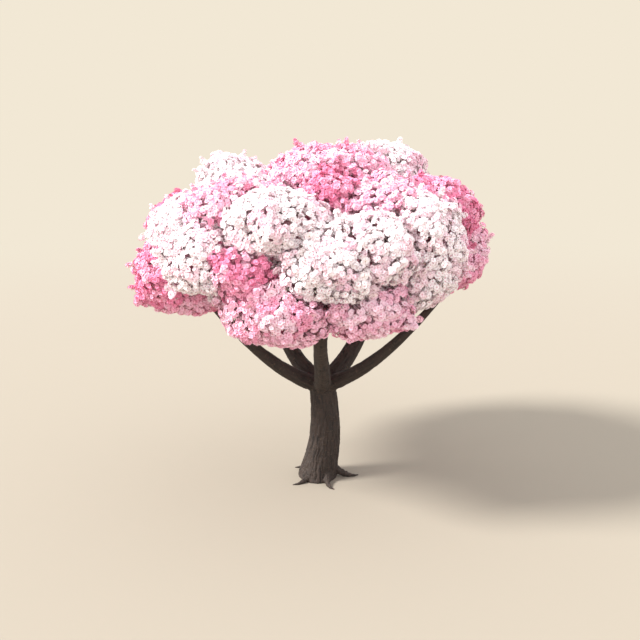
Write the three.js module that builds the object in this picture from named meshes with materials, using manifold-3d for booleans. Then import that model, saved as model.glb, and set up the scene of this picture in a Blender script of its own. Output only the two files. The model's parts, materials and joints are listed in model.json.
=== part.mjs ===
// A flowering cherry tree in full blossom, rooted in the ground: a short stout trunk with five
// surface roots, five boughs that open like a bowl from one fork, and a broad low crown made of
// separate rounded masses of blossom. Units are millimetres, +Z is up, and the origin is the
// middle of the flat cut under the trunk, at ground level. A bearing is an angle round the
// trunk, in degrees, from +X towards +Y, so 270 faces the front.
import * as THREE from "three";
import { mergeVertices } from "three/addons/utils/BufferGeometryUtils.js";
import Module from "manifold-3d";

const wasm = await Module();
wasm.setup();

// ---------------------------------------------------------------- driving dimensions
const FORK_HEIGHT = 1930; // where the boughs part
const TRUNK = {
  neckRadius: 250, // under the fork
  footRadius: 355, // above the flare
  flare: 45, // how much further the foot spreads at the ground
  flareHeight: 160, // how fast that spread dies away
  headRise: 170, // the rounded head between the boughs
  sway: 60, // how far the trunk bows to +X half way up
  footShift: 95, // how far its foot stands off to -X
  fluting: 0.05, // depth of the three broad flutes, as a share of the radius
  below: 120, // length under the ground, which the flat cut takes off
  sides: 18,
  rings: 14,
};
const ROOTS = {
  count: 5,
  firstBearing: 2,
  reach: 740, // from the trunk's middle to a root's tip
  shoulder: 250, // height at which a root leaves the trunk
  knee: 62, // height of its back half way out
  radius: 120,
  tipRadius: 10,
  swing: 6, // degrees by which it wanders off its bearing
  sides: 8,
  rings: 7,
};
const BOUGH = {
  start: 60, // how far from the axis a bough is rooted in the trunk's head
  upturn: 1.55, // 1 is a straight limb, and more bends it upward
  wander: 1.6, // degrees by which it sways off its bearing
  steps: 6, // points that set its course
  sides: 10,
  rings: 14,
};
const FIT_GAP = 1; // between limbs that meet
const MASS_GAP = 12; // between masses of blossom, and between a mass and a bough
const RUGGED = 0.22; // how far a mass's corners stray, as a share of its size
const CROWN_MIDDLE = new THREE.Vector3(-200, 0, 0); // the crown's axis, a little off the trunk's

// ---------------------------------------------------------------- finishes
const paint = (color, roughness) =>
  new THREE.MeshStandardMaterial({ color, roughness, metalness: 0 });
const FINISH = {
  bark: () => paint(0x3d322c, 0.9),
  white: () => paint(0xfff0f3, 0.8),
  pink: () => paint(0xf9bfd2, 0.8),
  deep: () => paint(0xee8fb0, 0.8),
};

// ---------------------------------------------------------------- helpers
const { degToRad, lerp, clamp } = THREE.MathUtils;

// Repeatable random numbers from 0 to 1.
function dice(seed) {
  let state = seed * 2654435761 + 12345;
  return () => {
    state = (state + 0x6d2b79f5) | 0;
    let t = Math.imul(state ^ (state >>> 15), 1 | state);
    t = (t + Math.imul(t ^ (t >>> 7), 61 | t)) ^ t;
    return ((t ^ (t >>> 14)) >>> 0) / 4294967296;
  };
}

// A point at a bearing, a distance and a height, round the vertical through `middle`.
function around(bearing, distance, height, middle = new THREE.Vector3()) {
  const angle = degToRad(bearing);
  return new THREE.Vector3(
    middle.x + distance * Math.cos(angle),
    middle.y + distance * Math.sin(angle),
    height,
  );
}

// A copy of a geometry with its shared corners merged and nothing but its positions.
function bareShape(geometry) {
  const bare = geometry.clone();
  bare.deleteAttribute("normal");
  bare.deleteAttribute("uv");
  return mergeVertices(bare, 1e-3);
}

function solidOf(geometry) {
  const shape = bareShape(geometry);
  return new wasm.Manifold(
    new wasm.Mesh({
      numProp: 3,
      vertProperties: shape.attributes.position.array,
      triVerts: new Uint32Array(shape.index.array),
    }),
  );
}

function geometryOf(solid) {
  const mesh = solid.getMesh();
  const places = new Float32Array(mesh.numVert * 3);
  for (let i = 0; i < mesh.numVert; i++) {
    const at = i * mesh.numProp;
    places.set(mesh.vertProperties.subarray(at, at + 3), i * 3);
  }
  const geometry = new THREE.BufferGeometry();
  geometry.setAttribute("position", new THREE.BufferAttribute(places, 3));
  geometry.setIndex(new THREE.BufferAttribute(mesh.triVerts, 1));
  return geometry;
}

// A cut can leave crumbs: only the largest body is kept.
function largest(solid) {
  return solid
    .decompose()
    .reduce((best, body) => (body.volume() > best.volume() ? body : best));
}

// A named mesh whose own origin is at `pivot`.
function meshOf(name, solid, material, pivot) {
  const geometry = geometryOf(solid).toNonIndexed();
  geometry.translate(-pivot.x, -pivot.y, -pivot.z);
  geometry.computeVertexNormals();
  const mesh = new THREE.Mesh(geometry, material);
  mesh.name = name;
  mesh.position.copy(pivot);
  return mesh;
}

// A closed limb: rings of `sides` corners set square to a curve, with a point in each end.
// radiusAt takes the share of the way along, and the angle round the limb.
function limb(curve, radiusAt, sides, rings) {
  const frames = curve.computeFrenetFrames(rings, false);
  const places = [];
  const index = [];
  for (let ring = 0; ring <= rings; ring++) {
    const along = ring / rings;
    const centre = curve.getPointAt(along);
    for (let side = 0; side < sides; side++) {
      const angle = (2 * Math.PI * side) / sides;
      const radius = radiusAt(along, angle);
      const corner = centre
        .clone()
        .addScaledVector(frames.normals[ring], radius * Math.cos(angle))
        .addScaledVector(frames.binormals[ring], radius * Math.sin(angle));
      places.push(...corner);
    }
  }
  const footPoint = places.length / 3;
  places.push(...curve.getPointAt(0), ...curve.getPointAt(1));
  for (let side = 0; side < sides; side++) {
    const next = (side + 1) % sides;
    for (let ring = 0; ring < rings; ring++) {
      const a = ring * sides + side;
      const b = ring * sides + next;
      index.push(a, b, a + sides, b, b + sides, a + sides);
    }
    const last = rings * sides;
    index.push(footPoint, next, side);
    index.push(footPoint + 1, last + side, last + next);
  }
  const geometry = new THREE.BufferGeometry();
  geometry.setAttribute("position", new THREE.Float32BufferAttribute(places, 3));
  geometry.setIndex(index);
  return geometry;
}

// ---------------------------------------------------------------- trunk and roots
// The trunk's axis bows to one side and comes back under the fork.
function trunkAxis(height) {
  const share = clamp(height / FORK_HEIGHT, 0, 1);
  const bow = TRUNK.sway * Math.sin(Math.PI * share);
  return new THREE.Vector3(bow - TRUNK.footShift * Math.pow(1 - share, 3), 0, height);
}

// The trunk from under the ground to its head, with `extra` added to its radius.
function trunkStem(extra = 0) {
  const top = FORK_HEIGHT + TRUNK.headRise + extra;
  const points = [];
  for (let i = 0; i <= 8; i++) {
    points.push(trunkAxis(lerp(-TRUNK.below, top, i / 8)));
  }
  const radiusAt = (along, angle) => {
    const height = lerp(-TRUNK.below, top, along);
    const share = clamp(height / FORK_HEIGHT, 0, 1);
    const shaft = lerp(TRUNK.footRadius, TRUNK.neckRadius, Math.pow(share, 0.9));
    const spread = TRUNK.flare * Math.exp(-Math.max(height, 0) / TRUNK.flareHeight);
    const intoHead = Math.max(0, height - FORK_HEIGHT) / (1.35 * TRUNK.headRise);
    const dome = Math.sqrt(Math.max(0, 1 - intoHead * intoHead));
    const flutes = 1 + TRUNK.fluting * Math.cos(3 * angle + 2.5 * share);
    return (shaft + spread) * flutes * dome + extra;
  };
  const axis = new THREE.CatmullRomCurve3(points);
  return solidOf(limb(axis, radiusAt, TRUNK.sides, TRUNK.rings));
}

// One root that leaves the trunk at its shoulder and dives to a point along the ground.
function surfaceRoot(i) {
  const bearing = ROOTS.firstBearing + (360 * i) / ROOTS.count;
  const wandered = bearing + (i % 2 ? ROOTS.swing : -ROOTS.swing);
  const reach = ROOTS.reach * (1 - 0.04 * (i % 3));
  const course = new THREE.CatmullRomCurve3([
    around(bearing, reach * 0.12, ROOTS.shoulder * 1.45),
    around(bearing, reach * 0.35, ROOTS.shoulder * 0.62),
    around(wandered, reach * 0.58, ROOTS.knee),
    around(wandered, reach * 0.83, ROOTS.knee * 0.36),
    around(bearing, reach, ROOTS.tipRadius * 0.4),
  ]);
  const taper = (along) => lerp(ROOTS.radius, ROOTS.tipRadius, Math.pow(along, 1.15));
  return solidOf(limb(course, taper, ROOTS.sides, ROOTS.rings));
}

function makeTrunk() {
  let trunk = trunkStem();
  for (let i = 0; i < ROOTS.count; i++) {
    trunk = trunk.add(surfaceRoot(i));
  }
  const soil = new THREE.BoxGeometry(4000, 4000, 1000);
  soil.translate(0, 0, -500);
  return largest(trunk.subtract(solidOf(soil)));
}

// ---------------------------------------------------------------- boughs
// Every bough follows the same bowl-shaped course, out and then up. `reach` is how far out it
// is carried, `rise` how high its end stands over the fork, and `foot` and `tip` its radii.
const BOUGHS = [
  { name: "bough_front", bearing: 270, reach: 2050, rise: 2150, foot: 175, tip: 105 },
  { name: "bough_right", bearing: 342, reach: 2400, rise: 2050, foot: 175, tip: 45 },
  { name: "bough_back_right", bearing: 48, reach: 2300, rise: 2100, foot: 200, tip: 105 },
  { name: "bough_back_left", bearing: 132, reach: 2300, rise: 2100, foot: 200, tip: 105 },
  { name: "bough_left", bearing: 198, reach: 2350, rise: 2000, foot: 175, tip: 45 },
];

function boughCourse(bough, i) {
  const points = [around(bough.bearing, BOUGH.start, FORK_HEIGHT - BOUGH.start / 2)];
  for (let step = 1; step <= BOUGH.steps; step++) {
    const out = step / BOUGH.steps;
    const lift = bough.rise * Math.pow(out, BOUGH.upturn);
    const wander = BOUGH.wander * Math.sin(1.3 * step + 2 * i);
    points.push(around(bough.bearing + wander, bough.reach * out, FORK_HEIGHT + lift));
  }
  return new THREE.CatmullRomCurve3(points);
}

function boughSolid(bough, i, extra = 0) {
  const radiusAt = (along, angle) => {
    const taper = lerp(bough.foot, bough.tip, Math.pow(along, 0.8));
    return taper * (1 + 0.05 * Math.cos(2 * angle + 5 * along)) + extra;
  };
  return solidOf(limb(boughCourse(bough, i), radiusAt, BOUGH.sides, BOUGH.rings));
}

// ---------------------------------------------------------------- masses of blossom
// `at` gives a mass's middle as bearing, reach from the crown's axis, and height, and `half`
// its half-sizes across, outward and up. Where two meet, the earlier one keeps its shape.
const MASSES = [
  // the middle of the front, which stands proud of what is round it
  { name: "mass_front_high_left", tone: "white", at: [258, 2200, 5190], half: [980, 870, 690] },
  { name: "mass_front_mid_right", tone: "white", at: [294, 2500, 4860], half: [720, 780, 670] },
  { name: "mass_front_right", tone: "white", at: [317, 2450, 4760], half: [890, 850, 1030] },
  { name: "mass_front_mid", tone: "white", at: [279, 2420, 4620], half: [930, 800, 760] },
  { name: "mass_front_deep", tone: "deep", at: [246, 2450, 4520], half: [620, 720, 640] },
  // the skirt of the crown
  { name: "mass_low_left", tone: "pink", at: [256, 2180, 3920], half: [1010, 910, 710] },
  { name: "mass_low_right", tone: "pink", at: [293, 2180, 4020], half: [1020, 950, 720] },
  { name: "mass_left_low", tone: "deep", at: [205, 2400, 4250], half: [1100, 1050, 760] },
  { name: "mass_right_low", tone: "deep", at: [341, 2430, 4440], half: [720, 760, 580] },
  { name: "mass_right_rear_low", tone: "pink", at: [22, 2300, 4200], half: [950, 900, 720] },
  { name: "mass_rear_right_low", tone: "deep", at: [60, 2250, 4100], half: [950, 950, 740] },
  { name: "mass_rear_low", tone: "white", at: [98, 2250, 4050], half: [950, 950, 720] },
  { name: "mass_rear_left_low", tone: "pink", at: [136, 2300, 4150], half: [1000, 950, 740] },
  { name: "mass_left_rear_low", tone: "white", at: [171, 2350, 4300], half: [900, 900, 700] },
  // the rest of the middle
  { name: "mass_left_front", tone: "white", at: [229, 2520, 4680], half: [860, 850, 680] },
  { name: "mass_left_far", tone: "white", at: [202, 2270, 5000], half: [930, 850, 700] },
  { name: "mass_left_rear", tone: "deep", at: [166, 2300, 4950], half: [1000, 920, 740] },
  { name: "mass_rear_left", tone: "white", at: [126, 2300, 4950], half: [950, 900, 740] },
  { name: "mass_rear", tone: "pink", at: [88, 2300, 4950], half: [950, 900, 780] },
  { name: "mass_rear_right", tone: "white", at: [52, 2300, 5000], half: [950, 900, 740] },
  { name: "mass_right_back", tone: "pink", at: [10, 2640, 4550], half: [950, 930, 840] },
  // the shoulders
  { name: "mass_left_high", tone: "pink", at: [225, 1720, 5330], half: [1080, 950, 610] },
  { name: "mass_high_right", tone: "pink", at: [310, 1750, 5350], half: [930, 900, 720] },
  { name: "mass_high_mid", tone: "deep", at: [282, 1500, 5540], half: [600, 700, 600] },
  { name: "mass_right_high", tone: "deep", at: [347, 2220, 5320], half: [900, 880, 680] },
  { name: "mass_crown_left", tone: "white", at: [186, 800, 5480], half: [1020, 960, 580] },
  { name: "mass_rear_high", tone: "deep", at: [85, 1350, 5600], half: [1100, 950, 640] },
  // the top
  { name: "mass_top", tone: "pink", at: [325, 420, 5920], half: [1250, 1100, 620] },
  { name: "mass_back_left", tone: "white", at: [146, 1770, 5620], half: [920, 950, 740] },
  { name: "mass_back_right", tone: "white", at: [32, 1600, 5900], half: [900, 900, 660] },
];

const massMiddle = (mass) => around(...mass.at, CROWN_MIDDLE);

// A rough faceted boulder of a mass's own half-sizes, turned to face outward on its bearing.
function massSolid(mass, seed, extra = 0) {
  const shape = bareShape(new THREE.IcosahedronGeometry(1, 1));
  const roll = dice(seed + 1);
  const turn = new THREE.Euler(6 * roll(), 6 * roll(), 6 * roll());
  const [across, outward, up] = mass.half;
  const size = new THREE.Vector3(outward + extra, across + extra, up + extra);
  const corners = shape.attributes.position;
  const corner = new THREE.Vector3();
  for (let i = 0; i < corners.count; i++) {
    corner.fromBufferAttribute(corners, i).applyEuler(turn);
    corner.multiplyScalar(1 + RUGGED * (roll() - 0.5)).multiply(size);
    corners.setXYZ(i, ...corner);
  }
  shape.rotateZ(degToRad(mass.at[0]));
  shape.translate(...massMiddle(mass));
  return solidOf(shape);
}

// ---------------------------------------------------------------- the tree
// Each mass is cut back by those before it, grown by the gap that is kept between them.
function makeCrown() {
  const crown = new THREE.Group();
  let taken = null;
  MASSES.forEach((mass, seed) => {
    const whole = massSolid(mass, seed);
    const solid = taken ? largest(whole.subtract(taken)) : whole;
    crown.add(meshOf(mass.name, solid, FINISH[mass.tone](), massMiddle(mass)));
    const grown = massSolid(mass, seed, MASS_GAP);
    taken = taken ? taken.add(grown) : grown;
  });
  return { crown, crownSpace: taken };
}

// A bough runs from the trunk's head to where it enters the crown.
function makeBoughs(crownSpace) {
  const boughs = new THREE.Group();
  boughs.position.set(0, 0, FORK_HEIGHT);
  let taken = crownSpace.add(trunkStem(FIT_GAP));
  BOUGHS.forEach((bough, i) => {
    const solid = largest(boughSolid(bough, i).subtract(taken));
    const local = solid.translate([0, 0, -FORK_HEIGHT]);
    boughs.add(meshOf(bough.name, local, FINISH.bark(), new THREE.Vector3()));
    taken = taken.add(boughSolid(bough, i, FIT_GAP));
  });
  return boughs;
}

function makeTree() {
  const tree = new THREE.Group();
  const { crown, crownSpace } = makeCrown();
  tree.add(meshOf("trunk", makeTrunk(), FINISH.bark(), new THREE.Vector3()));
  tree.add(makeBoughs(crownSpace), crown);
  return tree;
}

export default makeTree();
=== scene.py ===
# %% [markdown]
# # A flowering cherry in full blossom
#
# A cherry tree is a short trunk, a few boughs that open like a bowl, and a crown in which
# every branch ends in twigs crowded with flowers. A plain solid model of the tree already
# exists: one solid for the trunk, one for each bough, and one for each rounded mass of
# blossom. This lesson keeps that model's sizes and grows the real thing inside it: bark with
# relief, branches that follow a branching rule, twigs, and single five-petalled flowers.
#
# Everything is in metres, +Z is up, and the ground is at z = 0.

# %% Load the solid model
import json
import math
import random

import bpy
import numpy as np
from mathutils import Matrix, Vector
from mathutils.bvhtree import BVHTree
from mathutils.kdtree import KDTree

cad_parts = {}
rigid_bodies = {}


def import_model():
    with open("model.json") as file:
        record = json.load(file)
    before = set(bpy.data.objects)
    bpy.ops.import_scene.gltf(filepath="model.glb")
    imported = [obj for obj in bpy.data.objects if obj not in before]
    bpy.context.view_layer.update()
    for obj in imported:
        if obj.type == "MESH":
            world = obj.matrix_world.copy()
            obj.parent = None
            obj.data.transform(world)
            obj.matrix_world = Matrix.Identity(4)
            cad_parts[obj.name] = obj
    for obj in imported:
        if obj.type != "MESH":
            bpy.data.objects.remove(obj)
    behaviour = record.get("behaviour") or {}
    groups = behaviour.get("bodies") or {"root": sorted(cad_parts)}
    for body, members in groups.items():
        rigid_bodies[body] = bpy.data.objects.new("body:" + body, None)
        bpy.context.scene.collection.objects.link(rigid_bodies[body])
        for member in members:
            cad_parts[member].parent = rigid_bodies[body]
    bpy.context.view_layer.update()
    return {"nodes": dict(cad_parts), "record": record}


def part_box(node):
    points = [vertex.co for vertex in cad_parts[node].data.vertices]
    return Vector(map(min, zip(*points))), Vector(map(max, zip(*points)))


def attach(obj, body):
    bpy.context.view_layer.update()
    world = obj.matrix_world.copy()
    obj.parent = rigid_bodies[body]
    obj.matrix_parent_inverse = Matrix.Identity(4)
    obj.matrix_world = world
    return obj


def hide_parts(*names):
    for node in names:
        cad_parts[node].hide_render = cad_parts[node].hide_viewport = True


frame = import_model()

MASSES = sorted(name for name in frame["nodes"] if name.startswith("mass_"))
BOUGHS = sorted(name for name in frame["nodes"] if name.startswith("bough_"))
SLOT_OF = {row["node"]: row["material_slot"] for row in frame["record"]["subparts"]}

# %% [markdown]
# ## Camera
#
# The tree is seen from its front, -Y, from a little above its middle, so that the camera
# looks down on the lower half of the crown and sees the boughs under it. A camera that is
# only pitched, and not turned or rolled, needs one angle.

# %% Camera
EYE = Vector((-0.04, -14.42, 6.49))
LOOK_DOWN = math.radians(12.85)
SENSOR, LENS = 36, 43.4  # millimetres
SEEN_TO = 400  # far enough for the ground


def placed(made):
    """Puts a new object in the scene, and gives it back."""
    bpy.context.scene.collection.objects.link(made)
    return made


camera = placed(bpy.data.objects.new("camera", bpy.data.cameras.new("camera")))
camera.data.sensor_width = SENSOR
camera.data.lens = LENS
camera.data.clip_end = SEEN_TO
camera.location = EYE
camera.rotation_euler = (math.pi / 2 - LOOK_DOWN, 0, 0)
bpy.context.scene.camera = camera
print(f"camera {EYE.length:.1f} m from the foot of the tree")

# %% [markdown]
# ## Reading the solids
#
# Each node's mesh already has its place in it. Two things are wanted from a solid: its
# corners and triangles as plain arrays, and a search tree that finds the nearest point of
# its surface. For a closed shape, a point is inside when the nearest surface faces away
# from it.

# %% Corners and triangles
def solid_of(node):
    """A node's corners and triangles as arrays."""
    mesh = frame["nodes"][node].data
    mesh.calc_loop_triangles()
    corners = np.empty(len(mesh.vertices) * 3)
    mesh.vertices.foreach_get("co", corners)
    triangles = np.empty(len(mesh.loop_triangles) * 3, dtype=np.int32)
    mesh.loop_triangles.foreach_get("vertices", triangles)
    return corners.reshape(-1, 3), triangles.reshape(-1, 3)


SOLIDS = {name: solid_of(name) for name in MASSES + BOUGHS + ["trunk"]}
print("surface to cover:", sum(len(SOLIDS[mass][1]) for mass in MASSES), "facets")

# %% Search trees
def search_tree(corners, triangles):
    """A tree for nearest-point and ray searches on a triangle mesh."""
    return BVHTree.FromPolygons([Vector(c) for c in corners], [tuple(t) for t in triangles])


def finder(places):
    """A tree that finds the nearest of some places, and its number in the list."""
    tree = KDTree(len(places))
    for number, place in enumerate(places):
        tree.insert(place, number)
    tree.balance()
    return tree


SKINS = {name: search_tree(*SOLIDS[name]) for name in MASSES}


def depth_in(mass, spot):
    """How deep a point lies inside a mass (negative outside), and the surface normal there."""
    place, normal, _, distance = SKINS[mass].find_nearest(spot)
    inside = (place - spot).dot(normal) > 0
    return (distance if inside else -distance), normal


low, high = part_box(MASSES[0])
CENTRE = (low + high) / 2
print(f"the middle of {MASSES[0]} is {depth_in(MASSES[0], CENTRE)[0]:.2f} m under its surface")

# %% [markdown]
# ## Tones
#
# The flowers of this tree come in white, in pale pink and in deep pink, a whole mass at a
# time. A mass is never one flat colour: most of its sprays have its own tone, and some have
# the next lighter or darker one. One material could vary its colour from spray to spray, but
# separate plain tones stay clean on petals this small. So each tone is one material, and a
# spray picks its tone from its mass's mixture.

# %% Tones of blossom and each mass's mixture
def linear(red, green, blue):
    """A display colour of 0 to 255 as the linear colour that shaders use."""
    shares = [value / 255 for value in (red, green, blue)]
    straight = [s / 12.92 if s <= 0.04045 else ((s + 0.055) / 1.055) ** 2.4 for s in shares]
    return (*straight, 1.0)


TONES = {
    "snow": linear(255, 246, 247),
    "blush": linear(254, 232, 238),
    "shell": linear(254, 222, 233),
    "pink": linear(252, 203, 221),
    "rose": linear(248, 178, 203),
    "deep": linear(243, 152, 185),
}
TONE_NAMES = list(TONES)
MIXTURES = {
    "blossom_white": {"snow": 9, "blush": 6, "shell": 1},
    "blossom_pink": {"shell": 4, "pink": 9, "rose": 3},
    "blossom_deep": {"pink": 2, "rose": 8, "deep": 7},
}
print(f"{len(TONES)} tones, {len(MIXTURES)} mixtures")

# %% [markdown]
# ## Branches, by a branching rule
#
# Inside the crown a cherry's boughs fork again and again until a branch comes near every
# part of it. Branches could be drawn by hand, or forked at fixed angles, but then some masses
# would get too many and others none. A rule that looks for room is space colonisation:
# points that want a branch are scattered through the masses, each pulls on the wood nearest
# to it, and the wood grows one stride towards the pull, until it arrives. It is run twice,
# first with few points and long strides for the limbs, then with many points and short
# strides for the branches.

# %% Where each bough ends inside the crown
BOUGH_END = 0.30  # length of a bough's end that sets where its limb goes on
FORK_RISE = 0.2  # from a bough's lowest corner up to the middle of the fork


def bough_end(node):
    """A bough's last middle point, its heading there, and its radius."""
    corners = SOLIDS[node][0]
    fork = Vector((0, 0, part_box(node)[0].z + FORK_RISE))
    along = Vector(corners[np.argmax(np.linalg.norm(corners - np.array(fork), axis=1))]) - fork
    reach = corners @ np.array(along.normalized())
    last = corners[reach > reach.max() - BOUGH_END]
    before = corners[(reach > reach.max() - 3 * BOUGH_END) & (reach < reach.max() - BOUGH_END)]
    heading = (Vector(last.mean(0)) - Vector(before.mean(0))).normalized()
    axis = np.array(heading)
    spread = before - before.mean(0)
    radius = np.linalg.norm(spread - np.outer(spread @ axis, axis), axis=1).mean()
    return Vector(last.mean(0)), heading, float(radius)


BOUGH_ENDS = {name: bough_end(name) for name in BOUGHS}
for name, (spot, heading, radius) in BOUGH_ENDS.items():
    print(f"{name} ends at {tuple(round(v, 2) for v in spot)}, radius {radius:.3f}")


# %% The wood, started at the end of each bough
class Wood:
    """Places joined to a parent each: a skeleton of branches."""

    def __init__(self):
        self.place = []
        self.parent = []

    def add(self, parent, place):
        """Joins a new place to its parent, and gives its number."""
        self.place.append(place)
        self.parent.append(parent)
        return len(self.place) - 1

    def heading(self, index):
        """The way that the wood points at a joint."""
        up = self.parent[index]
        if up < 0:
            return Vector((0, 0, 1))
        return (self.place[index] - self.place[up]).normalized()


OVERLAP = 0.35  # how far back inside its bough a limb starts

wood = Wood()
for name in BOUGHS:
    spot, heading, _ = BOUGH_ENDS[name]
    first = wood.add(-1, spot - heading * OVERLAP)
    wood.add(first, spot)
print(f"{len(wood.place)} joints to grow from")

# %% How wood grows
MOMENTUM = 0.9  # how strongly wood keeps its heading
UPWARD = 0.12  # how strongly it turns up
CROWDED = 0.4  # share of a stride that must lie between new wood and old


def grow(wood, wanting, stride, arrive, rounds):
    """Grows the wood towards the points that want a branch, until it is `arrive` near them."""
    for _ in range(rounds):
        tree = finder(wood.place)
        pulls = {}
        still = []
        for want in wanting:
            spot, index, distance = tree.find(want)
            if distance < arrive:
                continue
            still.append(want)
            pulls[index] = pulls.get(index, Vector()) + (want - spot).normalized()
        wanting = still
        grown = 0
        for index, pull in pulls.items():
            heading = pull.normalized() + wood.heading(index) * MOMENTUM + Vector((0, 0, UPWARD))
            place = wood.place[index] + heading.normalized() * stride
            if tree.find(place)[2] > stride * CROWDED:
                wood.add(index, place)
                grown += 1
        if not grown:
            break


print(f"a joint keeps {MOMENTUM} of its heading and turns up by {UPWARD}")

# %% Points that want a branch
LIMB_WANTS = 5  # points per cubic metre that call for a limb
BRANCH_WANTS = 42  # points per cubic metre that call for a branch


def wants(density, shallowest, seed):
    """Seeded points inside the masses, at least `shallowest` under their surface."""
    dice = random.Random(seed)
    found = []
    for mass in MASSES:
        low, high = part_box(mass)
        size = high - low
        for _ in range(int(density * size.x * size.y * size.z)):
            spot = Vector(dice.uniform(low[k], high[k]) for k in range(3))
            if depth_in(mass, spot)[0] > shallowest:
                found.append(spot)
    return found


grow(wood, wants(LIMB_WANTS, shallowest=0.30, seed=4), stride=0.20, arrive=0.28, rounds=60)
limb_count = len(wood.place)
grow(wood, wants(BRANCH_WANTS, shallowest=0.10, seed=5), stride=0.13, arrive=0.16, rounds=40)
print(f"{limb_count} limb joints, {len(wood.place)} joints in all")

# %% [markdown]
# ## How thick each branch is
#
# A branch carries all the twigs above it, and its section is about the sum of theirs. So
# the radii are worked out from the tips back to the boughs. The first stretch of each limb
# also has to match the bough that it goes on from, so it starts at that radius and tapers
# from there.

# %% Radii from the tips back
TIP_RADIUS = 0.0045
SECTION_POWER = 2.15

joints = len(wood.place)
section = np.zeros(joints)
children = [[] for _ in range(joints)]
for index in range(joints - 1, -1, -1):
    section[index] = section[index] or TIP_RADIUS**SECTION_POWER
    up = wood.parent[index]
    if up >= 0:
        section[up] += section[index]
        children[up].append(index)
radius = section ** (1 / SECTION_POWER)
print(f"radii from {radius.min() * 1000:.0f} to {radius.max() * 1000:.0f} mm")

# %% Radii where limbs leave the boughs
BLEND_LENGTH = 0.9  # over which a bough's own radius dies away along its limb
SIDE_SHARE = 0.6  # what a side limb keeps of it


def thickest(numbers):
    """The joint with the thickest wood of some."""
    return max(numbers, key=lambda child: section[child])


travelled = np.zeros(joints)
bough_radius = np.zeros(joints)
roots = [index for index in range(joints) if wood.parent[index] < 0]
for index, name in zip(roots, BOUGHS):
    bough_radius[index] = BOUGH_ENDS[name][2]
for index in range(joints):
    up = wood.parent[index]
    if up >= 0:
        travelled[index] = travelled[up] + (wood.place[index] - wood.place[up]).length
        share = 1 if thickest(children[up]) == index else SIDE_SHARE
        bough_radius[index] = bough_radius[up] * share
radius = np.maximum(radius, bough_radius * np.exp(-travelled / BLEND_LENGTH))
print(f"radii from {radius.min() * 1000:.0f} to {radius.max() * 1000:.0f} mm")

# %% Smooth the joints so that limbs curve
SMOOTH_ROUNDS = 3

for _ in range(SMOOTH_ROUNDS):
    moved = [place.copy() for place in wood.place]
    for index in range(joints):
        up = wood.parent[index]
        if up < 0 or wood.parent[up] < 0 or not children[index]:
            continue
        ahead = wood.place[thickest(children[index])]
        moved[index] = wood.place[index] * 0.5 + (wood.place[up] + ahead) * 0.25
    wood.place = moved
print(f"{joints} joints smoothed {SMOOTH_ROUNDS} times")

# %% Draw the wood in under the blossom
WOOD_COVER = 0.07  # wood near a mass's surface is drawn in to this depth
STRAY = 0.15  # wood further outside than this crosses a gap and stays
BARE_START = 0.5  # and so does wood this near to its bough


def kept_inside(mass, spot, depth):
    """The point, moved in until it is at least `depth` under the mass's surface."""
    deep, normal = depth_in(mass, spot)
    return spot - normal * (depth - deep) if deep < depth else spot


drawn_in = 0
for index in range(joints):
    place = wood.place[index]
    deepest, mass = max((depth_in(name, place)[0], name) for name in MASSES)
    if -STRAY < deepest < WOOD_COVER and travelled[index] > BARE_START:
        wood.place[index] = kept_inside(mass, place, WOOD_COVER)
        drawn_in += 1
print(f"{drawn_in} joints drawn in")

# %% Runs of wood
def runs():
    """Unbroken runs of joints: each starts on its parent's run and follows the thickest child."""
    starts = [(index, -1) for index in roots]
    while starts:
        index, stem = starts.pop()
        run = [stem] if stem >= 0 else []
        while True:
            run.append(index)
            if not children[index]:
                break
            ordered = sorted(children[index], key=lambda child: -section[child])
            starts.extend((child, index) for child in ordered[1:])
            index = ordered[0]
        yield run


RUNS = [run for run in runs() if len(run) > 1]
print(f"{len(RUNS)} runs of wood")

# %% [markdown]
# ## Middle lines of the trunk and boughs
#
# Bark follows its limb: its ridges run along it, and its pale breathing pores, the
# lenticels, lie across it in short bands. To place them, every point of the bark needs to
# know how far along its limb it is and where round it. That is measured from a middle line,
# found as the middle of thin slices of the solid.

# %% Points scattered on a surface
def scatter_on(corners, triangles, per_metre, seed):
    """Seeded points spread evenly over a surface, and their normals."""
    dice = np.random.default_rng(seed)
    a, b, c = (corners[triangles[:, k]] for k in range(3))
    across = np.cross(b - a, c - a)
    area = np.linalg.norm(across, axis=1) / 2
    chosen = dice.choice(len(area), int(area.sum() * per_metre), p=area / area.sum())
    u, v = dice.random((2, len(chosen), 1))
    folded = u + v > 1
    u, v = np.where(folded, 1 - u, u), np.where(folded, 1 - v, v)
    spots = a[chosen] + u * (b - a)[chosen] + v * (c - a)[chosen]
    return spots, across[chosen] / (2 * area[chosen, None] + 1e-12)


sample, _ = scatter_on(*SOLIDS["trunk"], per_metre=100, seed=1)
print(f"the trunk has about {len(sample) / 100:.1f} square metres of surface")

# %% Middle lines from slices of a solid
SLICE = 0.10  # metres between slices
SLICE_HALF = 0.07  # half a slice's thickness
SLICE_POINTS = 2500  # points per square metre that the slices are made of
FAR_BELOW = (0, 0, -3)  # the trunk's slices stand round this point, so they are nearly level


def middle_line(node, start, skip):
    """Middle points of slices that stand at growing distances from `start`."""
    spots, _ = scatter_on(*SOLIDS[node], per_metre=SLICE_POINTS, seed=1)
    away = np.linalg.norm(spots - np.array(start), axis=1)
    slices = np.arange(away.min() + skip, away.max() - SLICE, SLICE)
    line = [spots[abs(away - s) < SLICE_HALF].mean(0) for s in slices]
    inner = range(1, len(line) - 1)
    for _ in range(4):
        line[1:-1] = [(line[k - 1] + line[k] * 2 + line[k + 1]) / 4 for k in inner]
    return [Vector(p) for p in line]


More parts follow.
